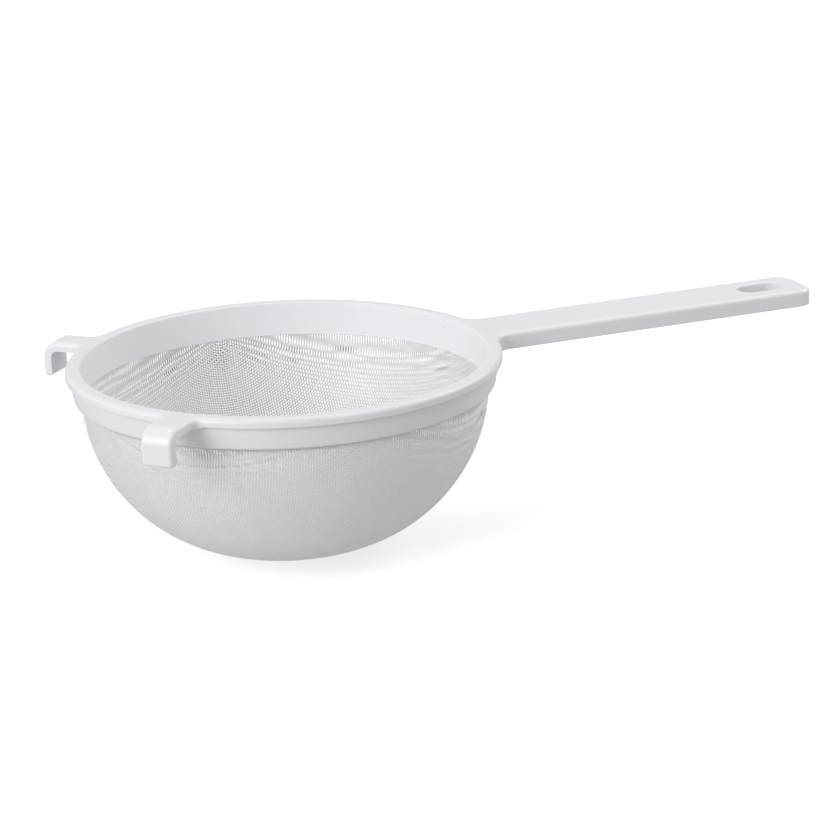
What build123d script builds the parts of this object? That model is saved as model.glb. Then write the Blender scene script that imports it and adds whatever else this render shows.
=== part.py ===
"""Hand-held kitchen sieve in three pieces.

A white moulded frame (rim, handle and two pot hooks), a bowl of woven nylon cloth, and a
band that is pushed up over the cloth and traps its edge against the frame's inner wall.

Millimetres. The origin is the centre of the rim's top face, +X runs along the handle and
+Z points up out of the bowl.
"""

import os
from math import cos, radians, sin, sqrt

from build123d import *

# Rim: a flat ring with a rounded outer edge, and a thin wall hanging from its inside
rim_outer_r = 100.0
rim_width = 7.0
rim_t = 3.8
outline_round = 2.0
rim_inside_round = 0.9
underside_round = 0.5
wall_drop = 16.0
wall_draft = 1.1
wall_t = 1.0
wall_foot_round = 0.4

# Gate mark left by the mould on the inside of the wall
gate_angle = 15.5
gate_z = -5.0
gate_d = 1.2
gate_depth = 0.4

# Handle: a level bar, open underneath, with cross ribs and a crowned end
handle_length = 168.0
handle_w = 31.5
handle_t = 8.0
handle_skin = 2.6
handle_wall = 2.4
handle_corner_r = 8.0
handle_crown = 2.0
handle_root_r = 9.0
pocket_rim_margin = 4.0
rib_t = 1.8
rib_count = 4
rib_recess = 1.0

# Hanging slot near the handle's end, in a collar as deep as the handle
slot_length = 23.4
slot_w = 13.0
slot_end_margin = 10.5
slot_collar_t = 2.0
slot_round = 0.6

# Pot hooks: flat tongues, thicker than the rim, that bend down into short lips
hook_angle = 43.3
hook_w = 15.4
hook_extra_t = 0.6
hook_overhang = 20.7
hook_drop = 16.6
hook_bend_r = 7.5
hook_root_r = 4.0
lip_foot_round = 1.6

# Clamp band: slightly barrelled, thinner at its foot, which stays above the wall's foot
band_gap = 0.3
band_foot_rise = 1.2
band_top_t = 3.5
band_foot_t = 2.7
band_barrel = 0.2
band_edge_round = 0.3
band_foot_round = 1.8

# Cloth bowl: an upright edge under the band, a round side and a flatter bottom
cloth_t = 0.5
cloth_edge_gap = 0.7
bowl_lean = 1.5
bowl_side_r = 76.0
bowl_bottom_r = 133.0

# Room between the wall, the cloth and the band
seat_gap = 0.1

rim_inner_r = rim_outer_r - rim_width
wall_foot_z = -wall_drop
wall_foot_inner_r = rim_inner_r - wall_draft
band_top_z = -rim_t - band_gap
band_foot_z = wall_foot_z + band_foot_rise
cloth_top_z = -rim_t - cloth_edge_gap
hook_t = rim_t + hook_extra_t
bend_start_r = rim_outer_r + hook_overhang - hook_bend_r
handle_end_x = rim_outer_r + handle_length
slot_x = handle_end_x - slot_end_margin - slot_length / 2
pocket_start_x = rim_outer_r + pocket_rim_margin


def wall_inner_r(z):
    """Radius of the wall's inside at a height."""
    return rim_inner_r + wall_draft * z / wall_drop


def cloth_inner_r(z):
    """Radius inside the cloth's upright edge at a height."""
    return wall_inner_r(z) + wall_t + seat_gap


def band_inner_r(z):
    """Radius of the band's bore at a height."""
    return cloth_inner_r(z) + cloth_t + seat_gap


def handle_plan(start_x):
    """Plan of the handle: straight sides, a crowned end and round corners."""
    half = handle_w / 2
    side_end_x = handle_end_x - handle_crown
    with BuildSketch() as plan:
        with BuildLine():
            Polyline((side_end_x, half), (start_x, half), (start_x, -half), (side_end_x, -half))
            ThreePointArc((side_end_x, -half), (handle_end_x, 0), (side_end_x, half))
        make_face()
        fillet(plan.vertices().group_by(Axis.X)[-1], handle_corner_r)
    return plan.sketch


def slot_plan(margin):
    """Plan of the hanging slot, grown by a margin."""
    with BuildSketch() as plan:
        with Locations((slot_x, 0)):
            SlotOverall(slot_length + 2 * margin, slot_w + 2 * margin)
    return plan.sketch


def rim_corners(plan):
    """Corners of a plan where something leaves the rim's edge."""
    return [v for v in plan.vertices() if abs(Vector(v).length - rim_outer_r) < 0.001]


def rim_and_handle_plan():
    """Plan of rim and handle, with the corners between them rounded."""
    with BuildSketch() as plan:
        add(handle_plan(0))
        Circle(rim_outer_r)
        fillet(rim_corners(plan), handle_root_r)
    return plan.sketch


def rim_and_tongues_plan():
    """Plan of rim and hook tongues, with the corners between them rounded."""
    with BuildSketch() as plan:
        Circle(rim_outer_r)
        with PolarLocations(bend_start_r / 2, 2, 180 - hook_angle, 2 * hook_angle, endpoint=True):
            Rectangle(bend_start_r, hook_w)
        fillet(rim_corners(plan), hook_root_r)
    return plan.sketch


def pocket_plan():
    """Plan of the hollow under the handle, around the slot's collar."""
    with BuildSketch() as plan:
        add(handle_plan(pocket_start_x - handle_wall))
        offset(amount=-handle_wall, mode=Mode.REPLACE)
        add(slot_plan(slot_collar_t), mode=Mode.SUBTRACT)
    return plan.sketch


def rib_plan():
    """Cross ribs, evenly spaced between the rim and the slot's collar."""
    last_x = slot_x - slot_length / 2 - slot_collar_t
    pitch = (last_x - pocket_start_x) / (rib_count + 1)
    with BuildSketch() as plan:
        with Locations([(pocket_start_x + pitch * (i + 1), 0) for i in range(rib_count)]):
            Rectangle(rib_t, handle_w)
    return plan.sketch


def wall_section():
    """Section of the thin wall that hangs from the rim's inside."""
    with BuildSketch(Plane.XZ) as section:
        with BuildLine():
            Polyline(
                (rim_inner_r, 0),
                (rim_inner_r + wall_t, 0),
                (wall_foot_inner_r + wall_t, wall_foot_z),
                (wall_foot_inner_r, wall_foot_z),
                close=True,
            )
        make_face()
        fillet(section.vertices().group_by(Axis.Y)[0], wall_foot_round)
    return section.sketch


def is_tongue_end(edge):
    """True for the straight top edge where a hook's tongue starts to bend."""
    middle = edge.center()
    return middle.X < 0 and middle.length > bend_start_r - 0.001


def is_slot_rim(edge):
    """True for an edge of the hanging slot, seen from above."""
    middle = edge.center()
    return abs(middle.X - slot_x) < slot_length / 2 and abs(middle.Y) < slot_w / 2 + 0.001


def gate_plane():
    """Plane on the wall's inside, facing out through the wall."""
    a = radians(gate_angle)
    out = Vector(cos(a), sin(a), 0)
    return Plane(origin=out * wall_inner_r(gate_z) + Vector(0, 0, gate_z), z_dir=out)


def build_hook_end():
    """Bend and lip of one hook, drawn along +X, for the end of its tongue."""
    with BuildPart() as hook:
        with BuildSketch(Plane.YZ.offset(bend_start_r)) as strip:
            Rectangle(hook_w, hook_t, align=(Align.CENTER, Align.MAX))
            fillet(strip.vertices().group_by(Axis.Y)[-1], outline_round)
        bend_axis = Axis((bend_start_r, 0, -hook_bend_r), (0, 1, 0))
        revolve(axis=bend_axis, revolution_arc=90)
        lip_start = hook.faces().sort_by(Axis.Z)[0]
        extrude(lip_start, amount=hook_drop - hook_bend_r)
        foot = hook.faces().sort_by(Axis.Z)[0]
        fillet(foot.edges(), lip_foot_round)
    return hook.part


def build_frame():
    """Rim, wall, handle and hooks: one moulding."""
    hook_end = build_hook_end()
    with BuildPart() as frame:
        # The flat outline, with its whole upper edge rounded except where the hooks bend
        with BuildSketch(Plane.XY.offset(-rim_t)):
            add(rim_and_tongues_plan())
            add(rim_and_handle_plan())
        extrude(amount=rim_t)
        top = frame.faces().sort_by(Axis.Z)[-1]
        fillet([e for e in top.edges() if not is_tongue_end(e)], outline_round)

        # The tongues are a little thicker than the rim, and the handle is deeper
        with BuildSketch(Plane.XY.offset(-hook_t)):
            add(rim_and_tongues_plan())
            Circle(rim_outer_r, mode=Mode.SUBTRACT)
        extrude(amount=hook_t - rim_t)
        with BuildSketch(Plane.XY.offset(-handle_t)):
            add(rim_and_handle_plan())
            Circle(rim_outer_r, mode=Mode.SUBTRACT)
        extrude(amount=handle_t - rim_t)
        fillet(frame.faces().sort_by(Axis.Z)[0].edges(), underside_round)

        # Hollow under the handle, with ribs that stop short of its lower edge
        with BuildSketch(Plane.XY.offset(-handle_t)):
            add(pocket_plan())
        extrude(amount=rib_recess, mode=Mode.SUBTRACT)
        with BuildSketch(Plane.XY.offset(-handle_t + rib_recess)):
            add(pocket_plan())
            add(rib_plan(), mode=Mode.SUBTRACT)
        extrude(amount=handle_t - rib_recess - handle_skin, mode=Mode.SUBTRACT)

        # Hanging slot
        with BuildSketch(Plane.XY.offset(-handle_t)):
            add(slot_plan(0))
        extrude(amount=handle_t, mode=Mode.SUBTRACT)
        fillet([e for e in frame.edges().group_by(Axis.Z)[-1] if is_slot_rim(e)], slot_round)

        # The open middle and the wall round it
        with BuildSketch(Plane.XY.offset(-rim_t)):
            Circle(rim_inner_r)
        extrude(amount=rim_t, mode=Mode.SUBTRACT)
        add(wall_section())
        revolve(axis=Axis.Z)
        top_circles = frame.edges().group_by(Axis.Z)[-1].filter_by(GeomType.CIRCLE)
        fillet([e for e in top_circles if abs(e.radius - rim_inner_r) < 0.001], rim_inside_round)

        # Hooks
        with PolarLocations(0, 2, 180 - hook_angle, 2 * hook_angle, endpoint=True):
            add(hook_end)

        # Gate mark
        with BuildSketch(gate_plane()):
            Circle(gate_d / 2)
        extrude(amount=gate_depth, mode=Mode.SUBTRACT)
    return frame


def build_clamp_band():
    """Plain ring round the cloth, with a barrelled outside."""
    band_top_r = band_inner_r(band_top_z) + band_top_t
    band_foot_r = band_inner_r(band_foot_z) + band_foot_t
    middle_r = (band_top_r + band_foot_r) / 2 + band_barrel
    middle_z = (band_top_z + band_foot_z) / 2
    with BuildPart() as band:
        with BuildSketch(Plane.XZ) as section:
            with BuildLine():
                ThreePointArc((band_top_r, band_top_z), (middle_r, middle_z), (band_foot_r, band_foot_z))
                Polyline(
                    (band_foot_r, band_foot_z),
                    (band_inner_r(band_foot_z), band_foot_z),
                    (band_inner_r(band_top_z), band_top_z),
                    (band_top_r, band_top_z),
                )
            make_face()
            foot = section.vertices().group_by(Axis.Y)[0].sort_by(Axis.X)
            fillet(foot[-1], band_foot_round)
            fillet(section.vertices().group_by(Axis.Y)[-1], band_edge_round)
        revolve(axis=Axis.Z)
    return band


def bowl_corners(inset):
    """Mouth, tangent point and bottom of the bowl's section, drawn inset from its outside."""
    lean = radians(bowl_lean)
    mouth_r = cloth_inner_r(band_foot_z) + cloth_t
    side_x = mouth_r - bowl_side_r * cos(lean)
    side_z = band_foot_z + bowl_side_r * sin(lean)
    bottom_z = side_z + sqrt((bowl_bottom_r - bowl_side_r) ** 2 - side_x**2)
    outwards = Vector(side_x, side_z - bottom_z).normalized()
    side_r = bowl_side_r - inset
    bottom_r = bowl_bottom_r - inset
    mouth = Vector(side_x + side_r * cos(lean), side_z - side_r * sin(lean))
    tangent = Vector(0, bottom_z) + outwards * bottom_r
    bottom = Vector(0, bottom_z - bottom_r)
    return mouth, tangent, bottom


def build_mesh_bowl():
    """The woven cloth as one thin shell, from its trapped edge to the bottom."""
    outer_mouth, outer_tangent, outer_bottom = bowl_corners(0)
    inner_mouth, inner_tangent, inner_bottom = bowl_corners(cloth_t)
    with BuildPart() as bowl:
        with BuildSketch(Plane.XZ):
            with BuildLine():
                Line((cloth_inner_r(cloth_top_z) + cloth_t, cloth_top_z), outer_mouth)
                RadiusArc(outer_mouth, outer_tangent, bowl_side_r)
                RadiusArc(outer_tangent, outer_bottom, bowl_bottom_r)
                Line(outer_bottom, inner_bottom)
                RadiusArc(inner_bottom, inner_tangent, -bowl_bottom_r + cloth_t)
                RadiusArc(inner_tangent, inner_mouth, -bowl_side_r + cloth_t)
                Line(inner_mouth, (cloth_inner_r(cloth_top_z), cloth_top_z))
                Line((cloth_inner_r(cloth_top_z), cloth_top_z), (cloth_inner_r(cloth_top_z) + cloth_t, cloth_top_z))
            make_face()
        revolve(axis=Axis.Z)
    return bowl


def main():
    """Build the three pieces and write one STEP file for each."""
    pieces = {
        "frame": build_frame(),
        "clamp_band": build_clamp_band(),
        "mesh_bowl": build_mesh_bowl(),
    }
    os.makedirs("parts", exist_ok=True)
    for name, piece in pieces.items():
        piece.part.label = name
        export_step(piece.part, f"parts/{name}.step")
        print(name, round(piece.part.volume), "mm3")


main()
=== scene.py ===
# %% [markdown]
# # A hand sieve: white plastic around a bowl of woven nylon
#
# The sieve is three real pieces: a moulded frame, a clamp band and a cloth. The first two are hard
# and come from the CAD model as they are. The cloth is soft, so its plain CAD shell is swapped here
# for threads that really cross over and under each other.

# %% Load the fixed frame
from math import asin, cos, pi, radians, sin

import bmesh
import bpy
from mathutils import Matrix, Vector


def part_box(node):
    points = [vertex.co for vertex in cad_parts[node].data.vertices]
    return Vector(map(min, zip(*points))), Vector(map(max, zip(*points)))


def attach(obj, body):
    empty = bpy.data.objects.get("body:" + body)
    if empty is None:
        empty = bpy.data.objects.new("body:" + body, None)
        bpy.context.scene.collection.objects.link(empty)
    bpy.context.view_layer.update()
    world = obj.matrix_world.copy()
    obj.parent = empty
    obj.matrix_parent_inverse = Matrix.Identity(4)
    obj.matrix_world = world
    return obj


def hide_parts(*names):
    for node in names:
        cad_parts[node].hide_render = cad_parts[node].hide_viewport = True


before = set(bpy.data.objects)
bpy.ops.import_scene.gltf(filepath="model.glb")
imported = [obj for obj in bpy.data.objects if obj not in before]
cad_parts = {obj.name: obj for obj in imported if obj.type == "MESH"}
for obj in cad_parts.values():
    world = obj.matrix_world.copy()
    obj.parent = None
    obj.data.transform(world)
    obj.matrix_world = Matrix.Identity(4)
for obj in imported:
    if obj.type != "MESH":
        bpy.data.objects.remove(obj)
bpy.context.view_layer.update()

print("CAD nodes:", sorted(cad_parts))

# %% [markdown]
# ## Camera
#
# Seen through a long lens from far away, the near and the far side of the rim look almost equally
# wide, as they do on the real sieve at arm's length. The camera stands a little above the rim and to
# the side of the handle, and it is rolled by two degrees, which makes the handle climb to the right.

# %% Place the camera
CAMERA_PLACE = Vector((-0.4288, -1.2497, 0.3765))
CAMERA_TARGET = Vector((0.0666, 0.0145, -0.0400))
CAMERA_ROLL = radians(-2.067)
LENS_MM = 131.8
SENSOR_MM = 36.0


def aimed(place, target):
    """The placing of a camera or lamp that looks from one point at another."""
    turn = (target - place).to_track_quat("-Z", "Y").to_matrix().to_4x4()
    return Matrix.Translation(place) @ turn


def add_camera():
    """A long lens, aimed at a point under the handle's root and rolled."""
    data = bpy.data.cameras.new("camera")
    data.lens = LENS_MM
    data.sensor_width = SENSOR_MM
    data.clip_start = 0.01
    data.clip_end = 50
    camera = bpy.data.objects.new("camera", data)
    bpy.context.scene.collection.objects.link(camera)
    roll = Matrix.Rotation(CAMERA_ROLL, 4, "Z")
    camera.matrix_world = aimed(CAMERA_PLACE, CAMERA_TARGET) @ roll
    bpy.context.scene.camera = camera


add_camera()
print("camera distance", round((CAMERA_TARGET - CAMERA_PLACE).length, 3), "m")

# %% [markdown]
# ## Node trees in plain arithmetic
#
# Materials and Geometry Nodes are both graphs. Wiring every Math node by hand hides the idea, so a
# small class stands for "a number on its way through the tree", and sums or products of it add the
# Math nodes. A formula then reads as a formula.


# %% A number in a node tree
class Number:
    """A number in a tree: arithmetic on it adds Math nodes."""

    def __init__(self, tree, socket):
        self.tree = tree
        self.socket = socket

    def math(self, operation, other=None):
        node = self.tree.nodes.new("ShaderNodeMath")
        node.operation = operation
        values = [self] if other is None else [self, other]
        for value, socket in zip(values, node.inputs):
            plug(self.tree, value, socket)
        return Number(self.tree, node.outputs[0])

    def __add__(self, other):
        return self.math("ADD", other)

    def __sub__(self, other):
        return self.math("SUBTRACT", other)

    def __mul__(self, other):
        return self.math("MULTIPLY", other)

    def __truediv__(self, other):
        return self.math("DIVIDE", other)

    def __gt__(self, other):
        return self.math("GREATER_THAN", other)

    def __lt__(self, other):
        return self.math("LESS_THAN", other)


def plug(tree, value, socket):
    """Connects a socket or a Number to an input, or sets the input to a plain value."""
    if isinstance(value, Number):
        value = value.socket
    if isinstance(value, bpy.types.NodeSocket):
        tree.links.new(value, socket)
    else:
        socket.default_value = value


def add_node(tree, kind, settings=None, **inputs):
    """Adds a node, sets its properties, and plugs its inputs by name."""
    node = tree.nodes.new(kind)
    for key, value in (settings or {}).items():
        setattr(node, key, value)
    for name, value in inputs.items():
        name = name.replace("_", " ")
        plug(tree, value, next(s for s in node.inputs if s.name == name and s.enabled))
    return node


# %% [markdown]
# ## White moulded plastic
#
# The frame and the band are injection-moulded polypropylene. It is white with a trace of violet,
# satin rather than mirror-like, and light goes a little way into it. The mould leaves two kinds of
# detail: a very fine orange-peel grain, and slow waves where the melt flowed and shrank. Both go
# into the bump, at their own scale, and the same slow waves change the roughness and the colour
# very slightly, so that highlights aren't perfectly even.

# %% Make the plastic
PLASTIC_LIGHT = (0.80, 0.795, 0.83, 1)
PLASTIC_DARK = (0.77, 0.765, 0.80, 1)
FLOW_SCALE = 22
FLOW_HEIGHT = 0.00012
GRAIN_HEIGHT = 0.000006
FLOW_ROUGHNESS = 0.10


def new_material(name):
    """An empty material with a Principled shader, and object coordinates to start from."""
    material = bpy.data.materials.new(name)
    material.use_nodes = True
    tree = material.node_tree
    tree.nodes.clear()
    shader = tree.nodes.new("ShaderNodeBsdfPrincipled")
    output = tree.nodes.new("ShaderNodeOutputMaterial")
    tree.links.new(shader.outputs["BSDF"], output.inputs["Surface"])
    place = tree.nodes.new("ShaderNodeTexCoord").outputs["Object"]
    return material, tree, shader, place


def noise(tree, place, scale, detail):
    """Cloudy noise of a given scale, as a Number from 0 to 1."""
    node = add_node(tree, "ShaderNodeTexNoise", Vector=place, Scale=scale, Detail=detail)
    return Number(tree, node.outputs["Fac"])


def blend_colours(tree, amount, first, second):
    """A colour between two others."""
    mix = tree.nodes.new("ShaderNodeMix")
    mix.data_type = "RGBA"
    factor, colour_a, colour_b = mix.inputs[0], mix.inputs[6], mix.inputs[7]
    plug(tree, amount, factor)
    colour_a.default_value = first
    colour_b.default_value = second
    return mix.outputs[2]


def add_bump(tree, shader, height):
    """Bends the shader's normal by a height in metres."""
    bump = add_node(tree, "ShaderNodeBump", Strength=1.0, Distance=1.0, Height=height)
    plug(tree, bump.outputs["Normal"], shader.inputs["Normal"])


def plastic_material(name, rough_base, grain_scale):
    """Satin white polypropylene with moulding grain and flow waves."""
    material, tree, shader, place = new_material(name)
    flow = noise(tree, place, FLOW_SCALE, detail=3)
    grain = noise(tree, place, grain_scale, detail=2)
    add_bump(tree, shader, flow * FLOW_HEIGHT + grain * GRAIN_HEIGHT)
    plug(tree, blend_colours(tree, flow, PLASTIC_DARK, PLASTIC_LIGHT), shader.inputs["Base Color"])
    plug(tree, flow * FLOW_ROUGHNESS + rough_base, shader.inputs["Roughness"])
    shader.inputs["IOR"].default_value = 1.49
    shader.inputs["Subsurface Weight"].default_value = 0.15
    shader.inputs["Subsurface Radius"].default_value = (1.0, 0.95, 0.9)
    shader.inputs["Subsurface Scale"].default_value = 0.002
    return material


def give_material(node_name, material):
    """Puts a material in every slot of a CAD node."""
    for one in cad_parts[node_name].material_slots:
        one.material = material


give_material("frame", plastic_material("frame_plastic", rough_base=0.27, grain_scale=2600))
give_material("clamp_band", plastic_material("band_plastic", rough_base=0.30, grain_scale=3000))
print("plastic on frame and clamp_band")

# %% [markdown]
# ## The cloth's shape
#
# The cloth is formed over a round die. Its section is a straight edge that the clamp band holds,
# a round side, and a flatter bottom: two arcs that meet without a corner. The middle of the cloth's
# thickness is a surface turned from that section. Under the band the real cloth isn't perfectly
# round either. It was gathered there before it was clamped, so it puckers a little, most near the
# handle, and the puckers die out a little over two centimetres down.

# %% Section of the cloth, in metres
CLOTH_T = 0.0005
SIDE_R = 0.076 - CLOTH_T / 2
BOTTOM_R = 0.133 - CLOTH_T / 2
BAND_FOOT_Z = -0.0148
CLOTH_TOP_Z = -0.0045
FOOT_R = 0.09333
TOP_R = 0.09404
SIDE_END = radians(88.5)

side_x = FOOT_R - SIDE_R * sin(SIDE_END)
side_z = BAND_FOOT_Z + SIDE_R * cos(SIDE_END)
JOIN = asin(side_x / (BOTTOM_R - SIDE_R))
bottom_z = side_z + (BOTTOM_R - SIDE_R) * cos(JOIN)
RUN_JOIN = BOTTOM_R * JOIN
RUN_FOOT = RUN_JOIN + SIDE_R * (SIDE_END - JOIN)
EDGE_TILT = (TOP_R - FOOT_R) / (CLOTH_TOP_Z - BAND_FOOT_Z)
RUN_TOP = RUN_FOOT + (CLOTH_TOP_Z - BAND_FOOT_Z)


def section_point(run):
    """(radius, height) of the cloth's middle at a distance along its section from the bottom."""
    if run < RUN_JOIN:
        angle = run / BOTTOM_R
        return BOTTOM_R * sin(angle), bottom_z - BOTTOM_R * cos(angle)
    if run < RUN_FOOT:
        angle = JOIN + (run - RUN_JOIN) / SIDE_R
        return side_x + SIDE_R * sin(angle), side_z - SIDE_R * cos(angle)
    return FOOT_R + (run - RUN_FOOT) * EDGE_TILT, BAND_FOOT_Z + run - RUN_FOOT


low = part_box("mesh_bowl")[0]
print("section bottom", round(section_point(0)[1] * 1000, 2), "CAD", round(low.z * 1000, 2), "mm")
print("flat run from bottom to edge", round(RUN_TOP * 1000, 1), "mm")

# %% Turn the section into the cloth's middle surface
RINGS = 110
SPOKES = 240
PUCKER = 0.0003
PUCKER_FADE = 0.024
WIDE_WAVES = 13
NARROW_WAVES = 29
NARROW_GROUPS = 3


def pucker(angle, run):
    """How far the cloth leaves the turned surface: nothing under the band, most just below it."""
    below = (RUN_FOOT - run) / PUCKER_FADE
    if below <= 0 or below >= 1:
        return 0.0
    wide = sin(WIDE_WAVES * angle + 0.8)
    narrow = sin(NARROW_WAVES * angle + 2.1) * sin(NARROW_GROUPS * angle + 0.4)
    waves = 0.55 * wide + 0.45 * narrow
    towards_handle = 0.1 + 0.9 * max(cos(angle + 0.2), 0.0) ** 2
    return PUCKER * towards_handle * waves * sin(pi * below) ** 2 * (1 - below)


def form_surface():
    """A lathe-turned mesh of the cloth's middle, puckers included."""
    form = bmesh.new()
    bottom = form.verts.new((0, 0, section_point(0)[1]))
    rings = []
    for ring in range(1, RINGS + 1):
        run = RUN_TOP * ring / RINGS
        radius, height = section_point(run)
        turn = [2 * pi * spoke / SPOKES for spoke in range(SPOKES)]
        radii = [radius + pucker(angle, run) for angle in turn]
        rings.append([form.verts.new((r * cos(a), r * sin(a), height)) for r, a in zip(radii, turn)])
    for spoke in range(SPOKES):
        beside = (spoke + 1) % SPOKES
        form.faces.new((bottom, rings[0][beside], rings[0][spoke]))
        for inner, outer in zip(rings, rings[1:]):
            form.faces.new((inner[spoke], inner[beside], outer[beside], outer[spoke]))
    mesh = bpy.data.meshes.new("cloth_form")
    form.to_mesh(mesh)
    form.free()
    return mesh


cloth_form = form_surface()
print("cloth form:", len(cloth_form.polygons), "faces")

# %% [markdown]
# ## Weaving with Geometry Nodes
#
# A plain weave is two families of parallel threads. Pressed into a bowl, the threads of one family
# stay in upright planes, and the planes stand closer together towards the sides, because what stays
# equal is the distance along the cloth. So a thread's plane comes from its distance along the
# section, by the same two arcs as the form.
#
# Each thread starts as a straight line of points. From a point in its own plane at the bowl's mouth,
# rays fan out through half a turn, and each point moves to where its ray meets the form. The thread
# is then cut to even steps, pushed in and out along the cloth's normal in a cosine wave whose
# period is two crossings, and given a flat section. The second family is the first one turned by
# 90 degrees: the planes stand half a spacing off centre, so the turn swaps over and under by itself.

# %% Where thread planes stand, and how far along the section a point is
FAN_POINTS = 320
BELOW_EDGE = 0.0001
CRIMP_FADE = 0.002


def group_input(tree, name, kind, value=None):
    """Adds a named input to a geometry tree."""
    socket = tree.interface.new_socket(name=name, in_out="INPUT", socket_type="NodeSocket" + kind)
    if value is not None:
        socket.default_value = value
    return socket.identifier


def plane_distance(run):
    """Distance from the axis to a point of the section, from its run: bottom arc, side arc, edge."""
    bottom = (run / BOTTOM_R).math("SINE") * BOTTOM_R
    angle = (run - RUN_JOIN) / SIDE_R + JOIN
    side = angle.math("MINIMUM", SIDE_END).math("SINE") * SIDE_R + side_x
    edge = (run - RUN_FOOT).math("MAXIMUM", 0.0) * EDGE_TILT
    return bottom + (run > RUN_JOIN) * (side - bottom) + edge


def run_of(distance):
    """The reverse of plane_distance, for points below the band."""
    bottom = (distance / BOTTOM_R).math("ARCSINE") * BOTTOM_R
    share = ((distance - side_x) / SIDE_R).math("MAXIMUM", -1.0).math("MINIMUM", 1.0)
    side = (share.math("ARCSINE") - JOIN) * SIDE_R + RUN_JOIN
    return bottom + (distance > BOTTOM_R * sin(JOIN)) * (side - bottom)


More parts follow.
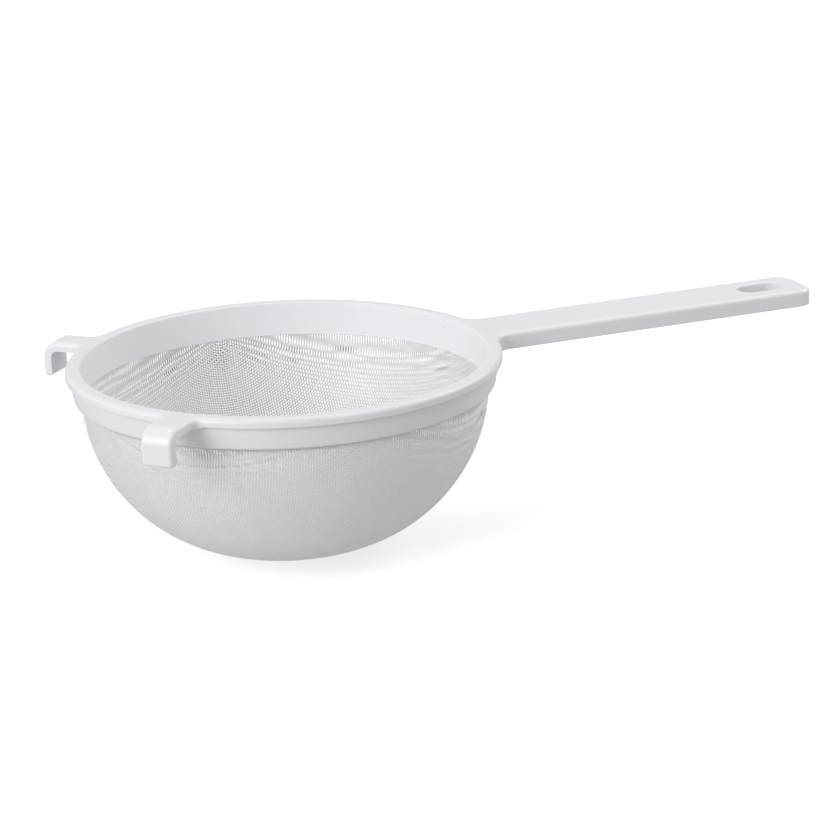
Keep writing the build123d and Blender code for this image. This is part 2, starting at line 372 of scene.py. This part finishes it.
# %% Tree for the threads of one family, in one sector of the bowl
def thread_family_tree():
    """Threads in planes across X, turned about Z; only the part between two directions is kept."""
    tree = bpy.data.node_groups.new("thread_family", "GeometryNodeTree")
    group_input(tree, "Form", "Geometry")
    group_input(tree, "Threads", "Int", 10)
    for name in ("Spacing", "Width", "Thickness", "Step", "Turn", "From angle", "To angle"):
        group_input(tree, name, "Float", 1.0)
    tree.interface.new_socket(name="Geometry", in_out="OUTPUT", socket_type="NodeSocketGeometry")
    given = tree.nodes.new("NodeGroupInput").outputs
    number = {name: Number(tree, given[name]) for name in given.keys() if name}

    # Straight lines of points, one for each thread
    starts = add_node(tree, "GeometryNodeMeshLine", Count=given["Threads"])
    line = add_node(tree, "GeometryNodeMeshLine", Count=FAN_POINTS)
    copies = add_node(
        tree,
        "GeometryNodeInstanceOnPoints",
        Points=starts.outputs["Mesh"],
        Instance=line.outputs["Mesh"],
    )
    lines = add_node(tree, "GeometryNodeRealizeInstances", Geometry=copies.outputs["Instances"])
    index = Number(tree, tree.nodes.new("GeometryNodeInputIndex").outputs[0])
    thread = (index / FAN_POINTS).math("FLOOR")
    fan = (index - thread * FAN_POINTS) / (FAN_POINTS - 1)

    # Each thread's plane, and rays from its point at the mouth
    run = (thread - (number["Threads"] - 1) / 2) * number["Spacing"]
    plane = plane_distance(run.math("ABSOLUTE")) * run.math("SIGN")
    angle = (fan - 0.5) * pi
    mouth = add_node(tree, "ShaderNodeCombineXYZ", X=plane, Z=CLOTH_TOP_Z - BELOW_EDGE)
    ray = add_node(
        tree, "ShaderNodeCombineXYZ", Y=angle.math("SINE"), Z=angle.math("COSINE") * -1.0
    )
    meet = add_node(
        tree,
        "GeometryNodeRaycast",
        Target_Geometry=given["Form"],
        Source_Position=mouth.outputs[0],
        Ray_Direction=ray.outputs[0],
        Ray_Length=1.0,
    )
    placed = add_node(
        tree,
        "GeometryNodeSetPosition",
        Geometry=lines.outputs["Geometry"],
        Position=meet.outputs["Hit Position"],
    )

    # Values that each point keeps while its thread is cut and turned
    kept = placed.outputs["Geometry"]
    held = {}
    for name, value, kind in (
        ("normal", meet.outputs["Hit Normal"], "FLOAT_VECTOR"),
        ("found", meet.outputs["Is Hit"], "FLOAT"),
        ("own", run / number["Spacing"], "FLOAT"),
    ):
        store = tree.nodes.new("GeometryNodeStoreNamedAttribute")
        store.data_type = kind
        store.domain = "POINT"
        plug(tree, kept, store.inputs["Geometry"])
        plug(tree, name, store.inputs["Name"])
        plug(tree, value, store.inputs["Value"])
        kept = store.outputs["Geometry"]
        read = tree.nodes.new("GeometryNodeInputNamedAttribute")
        read.data_type = kind
        plug(tree, name, read.inputs["Name"])
        held[name] = read.outputs["Attribute"]

    # Keep the edges that lie on the form and, after the turn, between the two directions
    position = tree.nodes.new("GeometryNodeInputPosition").outputs[0]
    turned = add_node(
        tree,
        "ShaderNodeVectorRotate",
        {"rotation_type": "Z_AXIS"},
        Vector=position,
        Angle=number["Turn"],
    )
    where = add_node(tree, "ShaderNodeSeparateXYZ", Vector=turned.outputs[0])
    x = Number(tree, where.outputs["X"])
    y = Number(tree, where.outputs["Y"])
    start = number["From angle"]
    end = number["To angle"]
    off_form = Number(tree, held["found"]) < 0.99
    before = y * start.math("COSINE") - x * start.math("SINE") < 0.0
    after = x * end.math("SINE") - y * end.math("COSINE") < 0.0
    cut = add_node(
        tree,
        "GeometryNodeDeleteGeometry",
        {"domain": "EDGE", "mode": "EDGE_FACE"},
        Geometry=kept,
        Selection=off_form + before + after,
    )
    curves = add_node(tree, "GeometryNodeMeshToCurve", Mesh=cut.outputs["Geometry"])
    even = tree.nodes.new("GeometryNodeResampleCurve")
    even.mode = "LENGTH"
    plug(tree, curves.outputs["Curve"], even.inputs["Curve"])
    plug(tree, number["Step"], even.inputs["Length"])

    # Over and under: a wave along the normal, flat where the band clamps the cloth
    spot = add_node(tree, "ShaderNodeSeparateXYZ", Vector=position)
    across = Number(tree, spot.outputs["Y"])
    crossing = run_of(across.math("ABSOLUTE")) * across.math("SIGN") / number["Spacing"] - 0.5
    own = Number(tree, held["own"]) - 0.5
    wave = (crossing * pi).math("COSINE") * (own * pi).math("COSINE")
    free = add_node(
        tree,
        "ShaderNodeMapRange",
        {"clamp": True},
        Value=spot.outputs["Z"],
        From_Min=BAND_FOOT_Z,
        From_Max=BAND_FOOT_Z - CRIMP_FADE,
    )
    push = wave * number["Thickness"] / 2 * Number(tree, free.outputs[0])
    along = add_node(
        tree, "ShaderNodeVectorMath", {"operation": "SCALE"}, Vector=held["normal"], Scale=push
    )
    woven = add_node(
        tree, "GeometryNodeSetPosition", Geometry=even.outputs["Curve"], Offset=along.outputs[0]
    )

    # Thread with a flat, sharp-cornered section that lies on the cloth, turned into place
    laid = add_node(
        tree,
        "GeometryNodeSetCurveNormal",
        {"mode": "FREE"},
        Curve=woven.outputs["Geometry"],
        Normal=held["normal"],
    )
    outline = add_node(
        tree,
        "GeometryNodeCurvePrimitiveQuadrilateral",
        Width=number["Thickness"],
        Height=number["Width"],
    )
    section = add_node(
        tree,
        "GeometryNodeCurveSplineType",
        {"spline_type": "BEZIER"},
        Curve=outline.outputs["Curve"],
    )
    thick = add_node(
        tree,
        "GeometryNodeCurveToMesh",
        Curve=laid.outputs["Curve"],
        Profile_Curve=section.outputs["Curve"],
        Fill_Caps=True,
    )
    angle_z = add_node(tree, "ShaderNodeCombineXYZ", Z=number["Turn"])
    final = add_node(
        tree, "GeometryNodeTransform", Geometry=thick.outputs["Mesh"], Rotation=angle_z.outputs[0]
    )
    result = tree.nodes.new("NodeGroupOutput")
    plug(tree, final.outputs["Geometry"], result.inputs["Geometry"])
    return tree


# %% [markdown]
# ## Sizes of the weave
#
# The real cloth is a plain weave of nylon monofilament, formed hot, and it may well be finer than
# this one. A finer net takes many more faces, so this is a stand-in: threads 1.2 mm apart that are
# flat and wide, which leaves small holes. Inside the bowl its holes still show more than real ones.
# A thread bends over and under its neighbours, by half its own thickness each way. The net has about
# ninety metres of thread, too much for one mesh, so it is woven in twelve sectors like slices of a
# cake, whose threads meet end to end.

# %% Choose the weave
SPACING = 0.0012
THREAD_W = 0.00080
THREAD_T = 0.00014
STEP = 0.00050
SECTORS = 12
THREADS = 2 * int(RUN_TOP / SPACING)
print(THREADS, "threads each way")


# %% Tree for one sector of the cloth
def sector_tree(family):
    """Both thread families in one sector of the bowl, joined, with their material."""
    tree = bpy.data.node_groups.new("woven_sector", "GeometryNodeTree")
    names = {"Form": group_input(tree, "Form", "Geometry")}
    names["Threads"] = group_input(tree, "Threads", "Int", THREADS)
    for name, value in (
        ("Spacing", SPACING),
        ("Width", THREAD_W),
        ("Thickness", THREAD_T),
        ("Step", STEP),
        ("From angle", 0.0),
        ("To angle", 2 * pi / SECTORS),
    ):
        names[name] = group_input(tree, name, "Float", value)
    names["Material"] = group_input(tree, "Material", "Material")
    tree.interface.new_socket(name="Geometry", in_out="OUTPUT", socket_type="NodeSocketGeometry")
    given = tree.nodes.new("NodeGroupInput").outputs
    both = tree.nodes.new("GeometryNodeJoinGeometry")
    for turn in (0.0, pi / 2):
        one = tree.nodes.new("GeometryNodeGroup")
        one.node_tree = family
        for socket in one.inputs:
            plug(tree, turn if socket.name == "Turn" else given[socket.name], socket)
        tree.links.new(one.outputs["Geometry"], both.inputs["Geometry"])
    smooth = add_node(tree, "GeometryNodeSetShadeSmooth", Geometry=both.outputs["Geometry"])
    solid = add_node(tree, "GeometryNodeRealizeInstances", Geometry=smooth.outputs["Geometry"])
    painted = add_node(
        tree, "GeometryNodeSetMaterial", Geometry=solid.outputs["Geometry"], Material=given["Material"]
    )
    result = tree.nodes.new("NodeGroupOutput")
    plug(tree, painted.outputs["Geometry"], result.inputs["Geometry"])
    return tree, names


# %% [markdown]
# ## Nylon thread
#
# White nylon monofilament is milky: light enters it and comes out again nearby, which is why the
# cloth looks soft and grey-white rather than hard. Patches of it are a touch cleaner or duller than
# others, and drawing the thread through its die leaves very fine marks.

# %% Make the nylon
NYLON_DULL = (0.90, 0.893, 0.902, 1)
NYLON_CLEAN = (0.95, 0.943, 0.952, 1)
PATCH_SCALE = 45
PATCH_ROUGHNESS = 0.15
LEAST_ROUGHNESS = 0.34
MARK_SCALE = 5000
MARK_HEIGHT = 0.000004


def nylon_material():
    """Milky white nylon, with slow patches and very fine marks."""
    material, tree, shader, place = new_material("nylon_mesh")
    patches = noise(tree, place, PATCH_SCALE, detail=3)
    marks = noise(tree, place, MARK_SCALE, detail=1)
    add_bump(tree, shader, marks * MARK_HEIGHT)
    plug(tree, blend_colours(tree, patches, NYLON_DULL, NYLON_CLEAN), shader.inputs["Base Color"])
    plug(tree, patches * PATCH_ROUGHNESS + LEAST_ROUGHNESS, shader.inputs["Roughness"])
    shader.inputs["IOR"].default_value = 1.53
    shader.inputs["Subsurface Weight"].default_value = 0.85
    shader.inputs["Subsurface Radius"].default_value = (1.0, 1.0, 1.0)
    shader.inputs["Subsurface Scale"].default_value = 0.0008
    return material


# %% Weave the sectors
def weave_sector(number, tree, names, material):
    """Runs the tree on the form and returns one sector's threads as a plain mesh object."""
    name = f"cloth_{number + 1:02d}"
    worker = bpy.data.objects.new(name + "_work", cloth_form)
    bpy.context.scene.collection.objects.link(worker)
    modifier = worker.modifiers.new("weave", "NODES")
    modifier.node_group = tree
    modifier[names["From angle"]] = 2 * pi * number / SECTORS
    modifier[names["To angle"]] = 2 * pi * (number + 1) / SECTORS
    modifier[names["Material"]] = material
    seen = worker.evaluated_get(bpy.context.evaluated_depsgraph_get())
    mesh = bpy.data.meshes.new_from_object(seen)
    mesh.name = name
    for spare in [a.name for a in mesh.attributes if a.name in ("normal", "found", "own")]:
        mesh.attributes.remove(mesh.attributes[spare])
    bpy.data.objects.remove(worker)
    piece = bpy.data.objects.new(name, mesh)
    bpy.context.scene.collection.objects.link(piece)
    return piece


nylon = nylon_material()
sector, input_names = sector_tree(thread_family_tree())
cloth = [weave_sector(number, sector, input_names, nylon) for number in range(SECTORS)]
counts = [sum(len(face.vertices) - 2 for face in piece.data.polygons) for piece in cloth]
print("triangles: most in a sector", max(counts), "all", sum(counts))

# %% [markdown]
# ## The cloth in place of the CAD shell
#
# The sectors stand for the CAD shell, which is hidden, and each hangs from the root body. Each is
# a slice of one sheet that was stretched over a die. Laid flat, a slice is as long as the section's
# run, and as wide as the chord of a twelfth of a circle. Nylon thread keeps its length, so all threads
# of one family, side by side at their spacing, are the flat cloth; the total length of thread is
# printed.


def thread_length(piece):
    """Length of all threads of a piece: their surface's area over the line round one thread."""
    outline = 2 * (THREAD_W + THREAD_T)
    return sum(face.area for face in piece.data.polygons) / outline


for piece in cloth:
    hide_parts("mesh_bowl")
    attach(piece, "root")
print("thread in the whole cloth:", round(sum(map(thread_length, cloth)), 1), "m")

# %% [markdown]
# ## Floor and light
#
# The sieve stands on its bowl in a white studio. The floor is a pale sweep without a visible
# corner. A big soft light from the left gives the rim and the hooks their bright edges. Weaker ones
# above and on the right light the handle's top and the inside of the cloth, and the white
# surroundings fill everything else.

# %% Build the studio
FLOOR_Z = low.z
FLOOR_DULL = (0.86, 0.86, 0.86, 1)
FLOOR_CLEAN = (0.88, 0.88, 0.88, 1)
FLOOR_GLOW = 0.36


def pale_floor():
    """A floor that bends up into a wall far behind the sieve."""
    bend_r = 1.2
    back_y = 1.6
    half_width = 5.0
    front_y = -2.5
    wall_top = 4.0
    steps = 16
    outline = [(front_y, 0.0), (back_y, 0.0)]
    outline += [
        (back_y + bend_r * sin(pi / 2 * i / steps), bend_r * (1 - cos(pi / 2 * i / steps)))
        for i in range(1, steps + 1)
    ]
    outline.append((back_y + bend_r, wall_top))
    verts = [(x, y, FLOOR_Z + z) for x in (-half_width, half_width) for y, z in outline]
    count = len(outline)
    faces = [(i, i + count, i + count + 1, i + 1) for i in range(count - 1)]
    mesh = bpy.data.meshes.new("floor")
    mesh.from_pydata(verts, [], faces)
    for face in mesh.polygons:
        face.use_smooth = True
    floor = bpy.data.objects.new("floor", mesh)
    bpy.context.scene.collection.objects.link(floor)
    material, tree, shader, place = new_material("floor_white")
    cloudy = noise(tree, place, 3, detail=2)
    plug(tree, blend_colours(tree, cloudy, FLOOR_DULL, FLOOR_CLEAN), shader.inputs["Base Color"])
    shader.inputs["Roughness"].default_value = 0.9
    shader.inputs["Specular IOR Level"].default_value = 0.1
    shader.inputs["Emission Color"].default_value = (1, 1, 1, 1)
    shader.inputs["Emission Strength"].default_value = FLOOR_GLOW
    floor.data.materials.append(material)
    floor.visible_diffuse = False
    floor.visible_glossy = False


def soft_light(name, place, target, size, power):
    """A square softbox aimed at a point."""
    data = bpy.data.lights.new(name, "AREA")
    data.shape = "SQUARE"
    data.size = size
    data.energy = power
    lamp = bpy.data.objects.new(name, data)
    bpy.context.scene.collection.objects.link(lamp)
    lamp.matrix_world = aimed(Vector(place), Vector(target))


def white_surroundings(strength):
    """Even white light from everywhere."""
    world = bpy.data.worlds.new("studio")
    world.use_nodes = True
    back = world.node_tree.nodes["Background"]
    back.inputs["Color"].default_value = (1, 1, 1, 1)
    back.inputs["Strength"].default_value = strength
    bpy.context.scene.world = world


pale_floor()
white_surroundings(strength=0.55)
soft_light("key_left", place=(-1.6, -0.7, 0.7), target=(0, 0, -0.02), size=1.0, power=19)
soft_light("top", place=(0.2, 0.3, 1.6), target=(0.05, 0, 0), size=1.4, power=5.5)
soft_light("right", place=(1.3, 0.2, 0.9), target=(0, 0, -0.03), size=1.0, power=8)
bpy.context.scene.view_settings.view_transform = "Standard"
